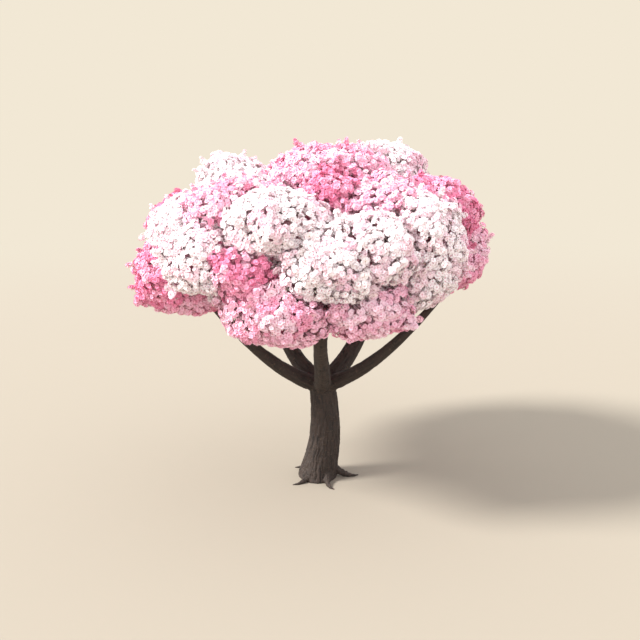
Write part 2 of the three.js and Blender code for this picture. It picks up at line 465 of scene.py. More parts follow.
FORK = Vector((0, 0, min(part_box(name)[0].z for name in BOUGHS)))
TRUNK_LINE = [Vector((0, 0, 0))] + middle_line("trunk", FAR_BELOW, skip=0.5)
BOUGH_LINES = {name: middle_line(name, FORK, skip=0.15) for name in BOUGHS}
print(f"fork at {FORK.z:.2f} m, trunk line of {len(TRUNK_LINE)} points")

# %% [markdown]
# ## Bark
#
# The trunk, its surface roots, the boughs and the first stretch of the limbs inside the
# crown are one living skin with no seams, so they are made as one mesh. Joining solids with
# booleans would leave a hard crease at every fork. Here plain tubes for the limbs are laid
# into copies of the solids, and a voxel remesh melts them together with soft forks.

# %% A tube along a line
def tube(line, radii, sides):
    """A closed tube along a line of points: corners and faces."""
    corners, faces = [], []
    side = Vector((1, 0, 0))
    for k, (place, thick) in enumerate(zip(line, radii)):
        ahead = line[min(k + 1, len(line) - 1)] - line[max(k - 1, 0)]
        ahead.normalize()
        side = side - ahead * side.dot(ahead)
        if side.length < 0.1:
            side = ahead.orthogonal()
        side.normalize()
        other = ahead.cross(side)
        for s in range(sides):
            turn = 2 * math.pi * s / sides
            corners.append(place + (side * math.cos(turn) + other * math.sin(turn)) * thick)
    for k in range(len(line) - 1):
        for s in range(sides):
            a, b = k * sides + s, k * sides + (s + 1) % sides
            faces.append((a, b, b + sides, a + sides))
    last = (len(line) - 1) * sides
    faces.append(tuple(range(sides - 1, -1, -1)))
    faces.append(tuple(range(last, last + sides)))
    return corners, faces


print("a straight tube of 10 sides has", len(tube([Vector(), CENTRE], [1, 1], 10)[1]), "faces")

# %% Lay the solids and the limbs into one another
SKIN_THINNEST = 0.024  # limbs thinner than this are left to the branches
SKIN_SIDES = 10


def skin_runs():
    """The thick first stretch of each run, with its radii."""
    for run in RUNS:
        thick = [k for k in run if radius[k] > SKIN_THINNEST]
        if len(thick) > 2:
            yield [wood.place[k] for k in thick], [min(radius[k], radius[thick[1]]) for k in thick]


def mesh_object(name, corners, faces):
    """A new object from lists of corners and faces."""
    mesh = bpy.data.meshes.new(name)
    mesh.from_pydata([tuple(c) for c in corners], [], [tuple(f) for f in faces])
    mesh.update()
    return placed(bpy.data.objects.new(name, mesh))


corners, faces = [], []
for name in ["trunk"] + BOUGHS:
    spots, triangles = SOLIDS[name]
    faces += [tuple(t + len(corners)) for t in triangles]
    corners += [Vector(c) for c in spots]
for line, radii in skin_runs():
    more, sheets = tube(line, radii, SKIN_SIDES)
    faces += [tuple(k + len(corners) for k in sheet) for sheet in sheets]
    corners += more
lump = mesh_object("bark_lump", corners, faces)
print(f"{len(faces)} faces laid into one another")

# %% Melt them into one skin
WELD_WITHIN = 1e-5
SKIN_VOXEL = 0.0135
SOFTENING = 0.5
SOFTEN_ROUNDS = 4


def as_plain_mesh(source, name):
    """The evaluated object as a plain mesh object of its own; the source is removed."""
    graph = bpy.context.evaluated_depsgraph_get()
    mesh = bpy.data.meshes.new_from_object(source.evaluated_get(graph))
    mesh.name = name
    bpy.data.objects.remove(source)
    return placed(bpy.data.objects.new(name, mesh))


def triangles_in(piece):
    """How many triangles an object's mesh has."""
    return sum(len(face.vertices) - 2 for face in piece.data.polygons)


weld = lump.modifiers.new("weld", "WELD")
weld.merge_threshold = WELD_WITHIN
melt = lump.modifiers.new("melt", "REMESH")
melt.mode = "VOXEL"
melt.voxel_size = SKIN_VOXEL
soften = lump.modifiers.new("soften", "SMOOTH")
soften.factor = SOFTENING
soften.iterations = SOFTEN_ROUNDS
bark = as_plain_mesh(lump, "bark")
print(f"skin of {triangles_in(bark)} triangles")

# %% [markdown]
# ## Grain
#
# A pattern on bark has to follow limbs that bend and fork. So every corner of the skin gets
# the place that it would have if its limb were straight: two offsets across the limb, and
# the way along it from the ground. The corner looks for the nearest sample of the middle
# lines and measures itself against that. The three numbers stay on the mesh as an
# attribute, which both the relief and the materials read.

# %% Samples of the middle lines
SIDE = Vector((1, 0.2, 0.1))  # the side that the offsets across a limb count from


def samples_of(line, start_along, side):
    """Rows of place, direction, side and path length along one middle line."""
    rows, along = [], start_along
    for k, place in enumerate(line):
        ahead = (line[min(k + 1, len(line) - 1)] - line[max(k - 1, 0)]).normalized()
        side = (side - ahead * side.dot(ahead)).normalized()
        along += (place - line[k - 1]).length if k else 0
        rows.append((*place, *ahead, *side, along))
    return rows


rows = samples_of(TRUNK_LINE, 0.0, SIDE)
for name in BOUGHS:
    rows += samples_of(BOUGH_LINES[name], FORK.z, SIDE)
for line, _ in skin_runs():
    rows += samples_of(line, FORK.z + (line[0] - FORK).length, SIDE)
SKELETON = np.array(rows)
nearest_sample = finder([row[:3] for row in rows])
print(f"{len(SKELETON)} samples")

# %% The grain of a piece
def grain_at(spots):
    """Straightened-limb coordinates: two offsets across the limb and the way along it."""
    near = SKELETON[[nearest_sample.find(spot)[1] for spot in spots]]
    offset = spots - near[:, :3]
    ahead, side, along = near[:, 3:6], near[:, 6:9], near[:, 9]
    other = np.cross(ahead, side)
    parts = [(offset * axis).sum(1) for axis in (side, other, ahead)]
    return np.stack([parts[0], parts[1], along + parts[2]], axis=1)


def corners_of(mesh):
    """A mesh's corners as an array."""
    flat = np.empty(len(mesh.vertices) * 3, dtype=np.float32)
    mesh.vertices.foreach_get("co", flat)
    return flat.reshape(-1, 3)


def store_vectors(mesh, name, values):
    """Keeps one vector per corner on the mesh."""
    layer = mesh.attributes.get(name) or mesh.attributes.new(name, "FLOAT_VECTOR", "POINT")
    layer.data.foreach_set("vector", np.asarray(values, dtype=np.float32).ravel())


grain = grain_at(corners_of(bark.data))
store_vectors(bark.data, "grain", grain)
print(f"the skin runs {grain[:, 2].max():.1f} m along its limbs")

# %% [markdown]
# ## Relief of the bark
#
# Old cherry bark swells and dips, splits into long furrows on the trunk, and carries low
# rings where the lenticels are. Up the boughs the furrows fade, and thin limbs are nearly
# smooth. The relief could be sculpted, but it follows a rule, so a Geometry Nodes tree
# pushes the skin in and out along its normals. Its depths are named inputs, and it dies away
# at the ground, where the trunk has to stay flat.

# %% A tree with named inputs
def new_tree(name, kind, inputs, outputs):
    """A node group with named inputs (name, kind, default) and outputs (name, kind)."""
    tree = bpy.data.node_groups.new(name, kind)
    for title, socket_kind, value in inputs:
        socket = tree.interface.new_socket(title, in_out="INPUT", socket_type=socket_kind)
        if value is not None:
            socket.default_value = value
    for title, socket_kind in outputs:
        tree.interface.new_socket(title, in_out="OUTPUT", socket_type=socket_kind)
    return tree, tree.nodes.new("NodeGroupInput").outputs, tree.nodes.new("NodeGroupOutput").inputs


relief, given, taken = new_tree(
    "bark relief", "GeometryNodeTree",
    [("Geometry", "NodeSocketGeometry", None), ("Furrow depth", "NodeSocketFloat", 0.014),
     ("Furrow width", "NodeSocketFloat", 0.07), ("Ring height", "NodeSocketFloat", 0.004),
     ("Swelling", "NodeSocketFloat", 0.016), ("Bark", "NodeSocketMaterial", None)],
    [("Geometry", "NodeSocketGeometry")])
print("inputs:", ", ".join(socket.name for socket in given if socket.name))

# %% Nodes that read the grain
def socket_of(sockets, key):
    """A socket by its number, identifier or name."""
    if isinstance(key, int):
        return sockets[key]
    for socket in sockets:
        if socket.identifier == key:
            return socket
    return sockets[key]


def put(tree, kind, inputs=None, **settings):
    """A new node; each input is a value, or a socket to link from."""
    made = tree.nodes.new(kind)
    for key, value in settings.items():
        setattr(made, key, value)
    for key, value in (inputs or {}).items():
        socket = socket_of(made.inputs, key)
        if isinstance(value, bpy.types.NodeSocket):
            tree.links.new(value, socket)
        else:
            socket.default_value = value
    return made


def named(tree, name, kind):
    """A stored attribute."""
    node = put(tree, "GeometryNodeInputNamedAttribute", {"Name": name}, data_type=kind)
    return node.outputs["Attribute"]


grain = named(relief, "grain", "FLOAT_VECTOR")
parts = put(relief, "ShaderNodeSeparateXYZ", {0: grain}).outputs
across = put(relief, "ShaderNodeCombineXYZ", {0: parts[0], 1: parts[1]}).outputs[0]
girth = put(relief, "ShaderNodeVectorMath", {0: across}, operation="LENGTH").outputs["Value"]
print(f"relief tree of {len(relief.nodes)} nodes")

# %% How thick and how old the wood is
LIMB_RADII = (0.02, 0.20)  # from a thin limb to a thick one
THIN_TO_THICK = (0.06, 1.0)  # the share of the relief that they have
BARK_AGES = (0.6, 3.4)  # metres along the limb, from the oldest bark to young bark
OLD_TO_YOUNG = (1.0, 0.3)  # the share of the furrows that they have


def math_of(tree, operation, first, second=0.0):
    """One step of arithmetic."""
    return put(tree, "ShaderNodeMath", {0: first, 1: second}, operation=operation).outputs[0]


def product(tree, first, *others):
    """Numbers multiplied together."""
    for other in others:
        first = math_of(tree, "MULTIPLY", first, other)
    return first


def ramped(tree, value, low, high, start=0.0, end=1.0):
    """A value mapped from low..high to start..end, softly."""
    inputs = {"Value": value, 1: low, 2: high, 3: start, 4: end}
    node = put(tree, "ShaderNodeMapRange", inputs, interpolation_type="SMOOTHSTEP")
    return node.outputs[0]


thickness = ramped(relief, girth, *LIMB_RADII, *THIN_TO_THICK)
age = product(relief, ramped(relief, parts[2], *BARK_AGES, *OLD_TO_YOUNG), thickness)
print(f"relief tree of {len(relief.nodes)} nodes")

# %% Furrows, rings and swellings
FURROW_STRETCH = (1, 1, 0.16)  # noise is drawn out along the limb
FURROW_EDGE = (0.0, 0.10)  # from the bottom of a furrow to the top of its ridge
FURROW_LEVELS = (-1.0, 0.35)  # their heights, in furrow depths
RING_SQUEEZE = (4, 4, 22)  # noise is pressed into bands across the limb
RING_EDGE = (0.52, 0.66)
SWELLING_SCALE = 3.2


def scaled(tree, vector, factors):
    """A vector multiplied part by part."""
    node = put(tree, "ShaderNodeVectorMath", {0: vector, 1: factors}, operation="MULTIPLY")
    return node.outputs[0]


def noise(tree, vector, scale, detail=2.0, roughness=0.5):
    """Soft noise of 0 to 1."""
    inputs = {"Vector": vector, "Scale": scale, "Detail": detail, "Roughness": roughness}
    return put(tree, "ShaderNodeTexNoise", inputs).outputs[0]


pitch = math_of(relief, "DIVIDE", 1.0, given["Furrow width"])
along_grain = noise(relief, scaled(relief, grain, FURROW_STRETCH), pitch, detail=3.0)
ridge = math_of(relief, "ABSOLUTE", math_of(relief, "SUBTRACT", along_grain, 0.5))
furrows = product(relief, ramped(relief, ridge, *FURROW_EDGE, *FURROW_LEVELS), age,
                  given["Furrow depth"])
bands = ramped(relief, noise(relief, scaled(relief, grain, RING_SQUEEZE), 1.0), *RING_EDGE)
rings = product(relief, bands, thickness, given["Ring height"])
swell = math_of(relief, "SUBTRACT", noise(relief, grain, SWELLING_SCALE, detail=1.0), 0.5)
swells = product(relief, swell, thickness, given["Swelling"])
height = math_of(relief, "ADD", math_of(relief, "ADD", furrows, rings), swells)
print(f"relief tree of {len(relief.nodes)} nodes")

# %% Push the skin out, and end the tree
FLAT_FOOT = (0.015, 0.09)  # heights above ground between which the relief comes in


def finished(tree, geometry, material):
    """The last nodes of a piece: smooth shading, real instances, and its material."""
    for kind in ("GeometryNodeSetShadeSmooth", "GeometryNodeRealizeInstances"):
        geometry = put(tree, kind, {"Geometry": geometry}).outputs[0]
    node = put(tree, "GeometryNodeSetMaterial", {"Geometry": geometry, "Material": material})
    return node.outputs[0]


place = put(relief, "GeometryNodeInputPosition").outputs[0]
up = put(relief, "ShaderNodeSeparateXYZ", {0: place}).outputs[2]
height = product(relief, height, ramped(relief, up, *FLAT_FOOT))
outward = put(relief, "GeometryNodeInputNormal").outputs[0]
push = put(relief, "ShaderNodeVectorMath", {0: outward, "Scale": height}, operation="SCALE")
pushed = put(relief, "GeometryNodeSetPosition",
             {"Geometry": given["Geometry"], "Offset": push.outputs[0]})
relief.links.new(finished(relief, pushed.outputs[0], given["Bark"]), taken["Geometry"])
print(f"relief tree of {len(relief.nodes)} nodes")

# %% [markdown]
# ## What bark looks like
#
# Cherry bark is a dark, slightly purple brown with a dull sheen. Pale corky lenticels lie
# across it, and dust and lichen grey its upper faces. The hollows of the streaks are painted
# darker, partly the bark's own dark and partly painted shade.
# The same two effects serve the trunk's bark and the thinner bark of the branches and the
# twigs, each at its own size, so each is a node group with named inputs.

# %% Lenticels
FEW_TO_MANY = (0.74, 0.50)  # how high the noise must reach for few and for many of them
LENTICEL_EDGE = 0.06

lenticels, given, taken = new_tree(
    "lenticels", "ShaderNodeTree",
    [("Grain", "NodeSocketVector", None), ("Spacing", "NodeSocketFloat", 0.03),
     ("Length", "NodeSocketFloat", 0.09), ("Amount", "NodeSocketFloat", 0.5)],
    [("Mask", "NodeSocketFloat")])
parts = put(lenticels, "ShaderNodeSeparateXYZ", {0: given["Grain"]}).outputs
sideways = put(lenticels, "ShaderNodeCombineXYZ", {
    0: math_of(lenticels, "DIVIDE", parts[0], given["Length"]),
    1: math_of(lenticels, "DIVIDE", parts[1], given["Length"]),
    2: math_of(lenticels, "DIVIDE", parts[2], given["Spacing"])}).outputs[0]
threshold = ramped(lenticels, given["Amount"], 0.0, 1.0, *FEW_TO_MANY)
spots = noise(lenticels, sideways, 1.0, detail=1.0)
over = math_of(lenticels, "SUBTRACT", spots, threshold)
lenticels.links.new(ramped(lenticels, over, 0.0, LENTICEL_EDGE), taken["Mask"])
print(f"lenticels of {len(lenticels.nodes)} nodes")

# %% Weathering: dust on upper faces, and painted shade in the streak hollows
STREAK_STRETCH = (1, 1, 0.18)
STREAK_SCALE = 22.0
STREAK_EDGE = (0.32, 0.55)
BLOTCH_SCALE = 5.0
BLOTCH_EDGE = (0.35, 0.65)
FACING_UP = (0.1, 0.9)  # from a steep face to one that catches dust
DUST = (0.15, 0.8)  # how grey they are


def mixed(tree, share, first, second):
    """A colour between two others."""
    inputs = {"Factor_Float": share, "A_Color": first, "B_Color": second}
    return socket_of(put(tree, "ShaderNodeMix", inputs, data_type="RGBA").outputs, "Result_Color")


weathering_and_shade, given, taken = new_tree(
    "weathering_and_shade", "ShaderNodeTree",
    [("Grain", "NodeSocketVector", None), ("Base", "NodeSocketColor", (0.05, 0.03, 0.03, 1)),
     ("Hollow dark and shade", "NodeSocketColor", (0.02, 0.01, 0.01, 1)),
     ("Grey", "NodeSocketColor", (0.1, 0.09, 0.08, 1)), ("Size", "NodeSocketFloat", 1.0)],
    [("Color", "NodeSocketColor"), ("Height", "NodeSocketFloat")])
zoomed = put(weathering_and_shade, "ShaderNodeVectorMath", {0: given["Grain"], "Scale": given["Size"]},
             operation="SCALE").outputs[0]
streaks = noise(weathering_and_shade, scaled(weathering_and_shade, zoomed, STREAK_STRETCH), STREAK_SCALE,
                detail=4.0, roughness=0.6)
blotches = noise(weathering_and_shade, zoomed, BLOTCH_SCALE)
facing = put(weathering_and_shade, "ShaderNodeNewGeometry").outputs["Normal"]
upward = put(weathering_and_shade, "ShaderNodeSeparateXYZ", {0: facing}).outputs[2]
dusty = product(weathering_and_shade, ramped(weathering_and_shade, upward, *FACING_UP, *DUST),
                ramped(weathering_and_shade, blotches, *BLOTCH_EDGE))
# low streaks are the bump's hollows; their dark is partly own colour, partly painted shade
streaky = ramped(weathering_and_shade, streaks, *STREAK_EDGE)
toned = mixed(weathering_and_shade, streaky, given["Hollow dark and shade"], given["Base"])
weathering_and_shade.links.new(mixed(weathering_and_shade, dusty, toned, given["Grey"]), taken["Color"])
weathering_and_shade.links.new(streaks, taken["Height"])
print(f"weathering of {len(weathering_and_shade.nodes)} nodes")

# %% One bark from the two groups
CORK_SHARE = 0.75  # how much of a lenticel is cork colour
CORK_HEIGHT = 0.5  # how high it stands, against the streaks
BUMP_STRENGTH = 0.6


def new_material(name):
    """A new material: its tree and its surface shader."""
    made = bpy.data.materials.new(name)
    made.use_nodes = True
    return made, made.node_tree, made.node_tree.nodes["Principled BSDF"]


def bark_material(name, size, colours, lenticel, roughness, depth):
    """A bark: streaks whose hollows hold own dark and painted shade, lenticels and fine relief."""
    made, tree, surface = new_material(name)
    grain = put(tree, "ShaderNodeAttribute", attribute_name="grain").outputs["Vector"]
    base, dark, grey, cork = [linear(*colour) for colour in colours]
    weather_and_shade = put(tree, "ShaderNodeGroup", node_tree=weathering_and_shade)
    marks = put(tree, "ShaderNodeGroup", node_tree=lenticels)
    for node, values in ((weather_and_shade, {"Base": base, "Hollow dark and shade": dark, "Grey": grey, "Size": size}),
                         (marks, lenticel)):
        tree.links.new(grain, node.inputs["Grain"])
        for key, value in values.items():
            node.inputs[key].default_value = value
    mask = marks.outputs["Mask"]
    colour = mixed(tree, product(tree, mask, CORK_SHARE), weather_and_shade.outputs["Color"], cork)
    tree.links.new(colour, surface.inputs["Base Color"])
    tree.links.new(ramped(tree, mask, 0.0, 1.0, *roughness), surface.inputs["Roughness"])
    height = math_of(tree, "ADD", weather_and_shade.outputs["Height"], product(tree, mask, CORK_HEIGHT))
    bump = put(tree, "ShaderNodeBump",
               {"Height": height, "Strength": BUMP_STRENGTH, "Distance": depth})
    tree.links.new(bump.outputs[0], surface.inputs["Normal"])
    return made


# colours: base, hollow dark (own colour and painted shade), dust grey, cork
OLD_BARK = bark_material(
    "bark_old", size=1.0, depth=0.012, roughness=(0.78, 0.9),
    colours=((54, 42, 35), (30, 24, 20), (66, 56, 48), (84, 70, 59)),
    lenticel={"Spacing": 0.022, "Length": 0.085, "Amount": 0.42})
print(f"old bark of {len(OLD_BARK.node_tree.nodes)} nodes")

# %% Younger barks
YOUNG_BARK = bark_material(
    "bark_young", size=3.0, depth=0.003, roughness=(0.6, 0.85),
    colours=((62, 48, 40), (42, 33, 28), (74, 63, 54), (96, 81, 68)),
    lenticel={"Spacing": 0.008, "Length": 0.03, "Amount": 0.4})
TWIG_BARK = bark_material(
    "bark_twig", size=6.0, depth=0.001, roughness=(0.55, 0.8),
    colours=((140, 108, 97), (110, 80, 72), (150, 128, 116), (168, 144, 128)),
    lenticel={"Spacing": 0.006, "Length": 0.012, "Amount": 0.35})
print("three barks from two node groups")

# %% Raise the relief, thin the mesh and cut it flat at the ground
BARK_LIMIT = 180000
GROUND_SNAP = 0.012


def through(source, tree, values, name):
    """Runs an object through a geometry node tree and gives the plain mesh object."""
    modifier = source.modifiers.new(tree.name, "NODES")
    modifier.node_group = tree
    for socket in tree.interface.items_tree:
        if socket.in_out == "INPUT" and socket.name in values:
            modifier[socket.identifier] = values[socket.name]
    source.update_tag()
    return as_plain_mesh(source, name)


bark = through(bark, relief, {"Bark": OLD_BARK}, "bark")
thin = bark.modifiers.new("thin", "DECIMATE")
thin.ratio = min(1.0, BARK_LIMIT / triangles_in(bark))
bark = as_plain_mesh(bark, "bark")
spots = corners_of(bark.data)
spots[spots[:, 2] < GROUND_SNAP, 2] = 0
bark.data.vertices.foreach_set("co", spots.ravel())
bark.data.update()
store_vectors(bark.data, "grain", grain_at(spots))
print(f"bark of {triangles_in(bark)} triangles")

# %% [markdown]
# ## Branches
#
# Branches too thin for the skin's voxels are made on their own. They could be built as tubes
# in code, but a limb is only a path and a thickness, and that is what a curve holds. So each
# run of wood is a curve that carries its own radius, and a Geometry Nodes tree sweeps a
# small ring along it. The same tree serves the twigs, with fewer sides.

# %% The tree that sweeps a limb
sweep, given, taken = new_tree(
    "limb sweep", "GeometryNodeTree",
    [("Geometry", "NodeSocketGeometry", None), ("Sides", "NodeSocketInt", 6),
     ("Bark", "NodeSocketMaterial", None)],
    [("Geometry", "NodeSocketGeometry")])
ring = put(sweep, "GeometryNodeCurvePrimitiveCircle",
           {"Resolution": given["Sides"], "Radius": 1.0})
girth = put(sweep, "GeometryNodeInputRadius").outputs[0]
swept = put(sweep, "GeometryNodeCurveToMesh",
            {"Curve": given["Geometry"], "Profile Curve": ring.outputs[0], "Scale": girth,
             "Fill Caps": True})
sweep.links.new(finished(sweep, swept.outputs[0], given["Bark"]), taken["Geometry"])
print(f"sweep tree of {len(sweep.nodes)} nodes")

# %% Curves to limbs
BRANCH_THICKEST = 0.032  # thicker wood is in the bark's own skin
BRANCH_SIDES = 6


def limbs_from(lines, name, sides, material):
    """Sweeps lines of (places, radii) into one piece, and gives it its grain."""
    curve = bpy.data.curves.new(name + "_lines", "CURVE")
    curve.dimensions = "3D"
    for places, radii in lines:
        spline = curve.splines.new("POLY")
        spline.points.add(len(places) - 1)
        flat = [value for place in places for value in (*place, 1.0)]
        spline.points.foreach_set("co", flat)
        spline.points.foreach_set("radius", [float(r) for r in radii])
    source = placed(bpy.data.objects.new(name + "_lines", curve))
    piece = through(source, sweep, {"Sides": sides, "Bark": material}, name)
    store_vectors(piece.data, "grain", corners_of(piece.data))
    return piece


branch_lines = []
for run in RUNS:
    kept = [k for k in run if radius[k] <= BRANCH_THICKEST]
    if len(kept) > 1:
        radii = [min(radius[k], radius[kept[1]]) for k in kept]
        branch_lines.append(([wood.place[k] for k in kept], radii))
branches = limbs_from(branch_lines, "branches", BRANCH_SIDES, YOUNG_BARK)
print(f"branches of {triangles_in(branches)} triangles from {len(branch_lines)} runs")

# %% [markdown]
# ## Sprays
#
# Blossom sits at the ends of the wood, so a spray is one curved twig with a few side shoots
# and an umbel of flowers at every tip. Scattered by chance alone, some would clump and others
# leave holes, so each is taken only where the last ones leave it room. Sprays stand a hand's
# width or two apart over the open side of each mass, and further apart where the crown is
# only seen from within. Flowers end at about the surface of their mass, so the masses keep
# their outline and the gaps between them. A few long shoots, the wands, stand up to 12 cm
# past it, because no real crown ends in a smooth line.

# %% What stands in the way of the light
SKY_REACH = 6.0  # nothing within this distance means open sky or ground
FREE_REACH = 0.45  # nothing within this distance means room for flowers
LIFT = 0.03  # how far above the surface the looking starts
TURNS = (0, 1.05, 2.09, 3.14, 4.19, 5.24)  # six directions round the one straight out

corners, triangles = [], []
for mass in MASSES:
    triangles.append(SOLIDS[mass][1] + sum(map(len, corners)))
    corners.append(SOLIDS[mass][0])
everything = search_tree(np.concatenate(corners), np.concatenate(triangles))


def reach_from(spot, direction):
    """How far one can go from a point before meeting any mass."""
    distance = everything.ray_cast(spot, direction, SKY_REACH)[3]
    return SKY_REACH if distance is None else distance


def openness(spot, normal):
    """Shares of the directions outward that have room for flowers, and that see the open."""
    side = normal.orthogonal().normalized()
    other = normal.cross(side)
    directions = [normal] + [
        (normal + side * math.cos(turn) + other * math.sin(turn)).normalized()
        for turn in TURNS]
    reaches = [reach_from(spot + normal * LIFT, direction) for direction in directions]
    near = sum(reach > FREE_REACH for reach in reaches)
    far = sum(reach >= SKY_REACH for reach in reaches)
    return near / len(directions), far / len(directions)


print(f"straight up from the middle of {MASSES[0]}: {reach_from(CENTRE, (0, 0, 1)):.2f} m")

# %% How open each mass is
LOOKS = 70  # places per square metre to look from


def exposure(mass, seed):
    """The openness of a mass's surface at scattered places, and a tree to look it up."""
    spots, normals = scatter_on(*SOLIDS[mass], per_metre=LOOKS, seed=seed)
    return [openness(Vector(p), Vector(n)) for p, n in zip(spots, normals)], finder(spots)


EXPOSURE = {mass: exposure(mass, seed=30 + k) for k, mass in enumerate(MASSES)}
for name in (MASSES[0], MASSES[-1]):
    near, far = np.mean(EXPOSURE[name][0], axis=0)
    print(f"{name}: {near:.0%} of the looks find room for flowers, {far:.0%} see the open")

# %% Where sprays and umbels stand
SPRAY_SPACING = 0.22
UMBEL_SPACING = 0.0905
SPRAY_TRIES = 500  # places per square metre to choose from
UMBEL_TRIES = 2600
LEAST_ROOM = 0.1  # blossom stands where at least this share has room for flowers
LEAST_SKY = 0.3  # where less than this sees the open, the crown is only seen from within
INNER_SHARE = 1.65  # how much wider everything stands there
MOST_STATIONS = 4000


def stations(mass, spacing, per_metre, seed):
    """Evenly scattered places on a mass's open side: (place, outward normal)."""
    kept, places = [], np.full((MOST_STATIONS, 3), 99.0)
    opens, lookup = EXPOSURE[mass]
    spots, normals = scatter_on(*SOLIDS[mass], per_metre=per_metre, seed=seed)
    for spot, normal in zip(spots, normals):
        nearest = ((places[:len(kept) + 1] - spot) ** 2).sum(1).min() ** 0.5
        if nearest < spacing:
            continue
        near, far = opens[lookup.find(spot)[1]]
        if near < LEAST_ROOM or (far <= LEAST_SKY and nearest < spacing * INNER_SHARE):
            continue
        places[len(kept)] = spot
        kept.append((Vector(spot), Vector(normal)))
    return kept


SPRAYS, UMBELS = {}, {}
for k, mass in enumerate(MASSES):
    SPRAYS[mass] = stations(mass, SPRAY_SPACING, SPRAY_TRIES, seed=10 + k)
    UMBELS[mass] = stations(mass, UMBEL_SPACING, UMBEL_TRIES, seed=60 + k)
print(f"{sum(map(len, SPRAYS.values()))} sprays, {sum(map(len, UMBELS.values()))} outer umbels")

# %% [markdown]
# ## Twigs
#
# A twig leaves the nearest thin branch, bends up to its spray and carries side shoots to
# the umbels round it. To keep the crown from looking clipped, the sprays sink by different
# depths, and each spray is domed: the further an umbel stands from the middle, the deeper it
# sits. The shaded lines that this leaves between the sprays give the crown its depth.

# %% Where a twig may start
FOOT_THICKEST = 0.045  # no twig grows straight from thicker wood
TWIG_RADIUS = 0.0042

thin_wood = [index for index in range(joints) if radius[index] < FOOT_THICKEST]
feet = finder([wood.place[index] for index in thin_wood])


def bend(start, lead, finish, steps):
    """Points on a curve from start to finish that sets out towards `lead`."""
    points = []
    for k in range(steps + 1):
        t = k / steps
        points.append(start * (1 - t) ** 2 + lead * 2 * t * (1 - t) + finish * t**2)
    return points


print(f"{len(thin_wood)} joints may carry twigs")

# %% A wand
WAND_LEAN = 0.5  # how far it leans to either side
WAND_RISE = (0.1, 0.7)
WAND_REACH = (0.05, 0.12)  # metres past the surface
WAND_UMBELS = ((0.55, 0.9), (0.80, 0.75), (1.0, 0.6))  # how far along each stands, and its size
WAND_TAPER = (0.6, 0.5, 0.3)  # its thickness, in twig radii
WAND_FACING = 0.6  # how strongly its umbels face outwards


def wand(start, spot, normal, dice):
    """One long shoot past the surface, with small umbels along it."""
    lean = Vector((dice.uniform(-WAND_LEAN, WAND_LEAN), dice.uniform(-WAND_LEAN, WAND_LEAN),
                   dice.uniform(*WAND_RISE)))
    end = spot + (normal + lean).normalized() * dice.uniform(*WAND_REACH)
    twig = (bend(start, spot, end, 2), [TWIG_RADIUS * share for share in WAND_TAPER])
    umbels = [(start.lerp(end, share), normal * WAND_FACING + lean, size)
              for share, size in WAND_UMBELS]
    return twig, umbels


print(f"wands with {len(WAND_UMBELS)} umbels each")

# %% A spray
SHALLOW, DEEP = 0.015, 0.075  # how far a spray's top stays under its mass's surface
DOME = 0.34  # how much deeper an umbel sits for each metre that it is off its spray's middle
LOOSE = 0.045  # how much deeper again, by chance
WAND_SHARE = 0.13  # sprays that send out a wand
WAND_LOWEST = -0.4  # none hangs from a face that looks down more than this
STEM_END = 0.07  # how far under the spray's top its stem ends
FOOT_BELOW = 0.12  # the stem starts from wood below that end
LEAD = 0.45  # how far the stem follows its branch, as a share of its length
SAG = 0.05  # how far it sags, as a share too
TWIG_COVER = 0.06  # the stem's middle stays at least this deep in the mass
STEM_TAPER = (1.25, 0.45)  # thickness of the stem, then of a shoot, in twig radii
SHOOT_TAPER = (0.55, 0.4)
SHOOT_START = (0.2, 1.0)  # along the stem's last stretch
MIDDLE_BELOW = 0.06  # one more umbel fills the spray's middle, this far below its end
MIDDLE_SIZE = 1.1
UMBEL_SIZES = (0.88, 1.14)
FAN = 3  # how strongly the umbels turn away from the stem


def spray(mass, spot, normal, ends, dice):
    """One spray: its twigs as (places, radii), and its umbels as (place, aim, size)."""
    sunk = dice.uniform(SHALLOW, DEEP)
    tip = spot - normal * (sunk + STEM_END)
    foot, number, far = feet.find(tip - normal * FOOT_BELOW)
    index = thin_wood[number]
    lead = foot + wood.heading(index) * far * LEAD + Vector((0, 0, -SAG * far))
    main = bend(foot, lead, tip, 4)
    main[1:-1] = [kept_inside(mass, place, TWIG_COVER) for place in main[1:-1]]
    thick = min(TWIG_RADIUS * STEM_TAPER[0], radius[index])
    twigs = [(main, np.linspace(thick, TWIG_RADIUS * STEM_TAPER[1], len(main)))]
    umbels = [(tip - normal * MIDDLE_BELOW, normal, MIDDLE_SIZE)]
    for place, outward in ends:
        depth = sunk + DOME * (place - spot).length + LOOSE * dice.random() ** 2
        end = place - outward * depth
        start = main[-2].lerp(main[-1], dice.uniform(*SHOOT_START))
        twigs.append(([start, end], [TWIG_RADIUS * share for share in SHOOT_TAPER]))
        umbels.append((end, outward + (end - tip) * FAN, dice.uniform(*UMBEL_SIZES)))
    if dice.random() < WAND_SHARE and normal.z > WAND_LOWEST:
        twig, more = wand(main[-1], spot, normal, dice)
        twigs.append(twig)
        umbels += more
    return twigs, umbels


trial = spray(MASSES[0], *SPRAYS[MASSES[0]][0], [], random.Random(0))
print(f"a stem of {len(trial[0][0][0])} points")

# %% All the sprays
AIM_SPREAD = 0.20  # how loosely the umbels face outwards

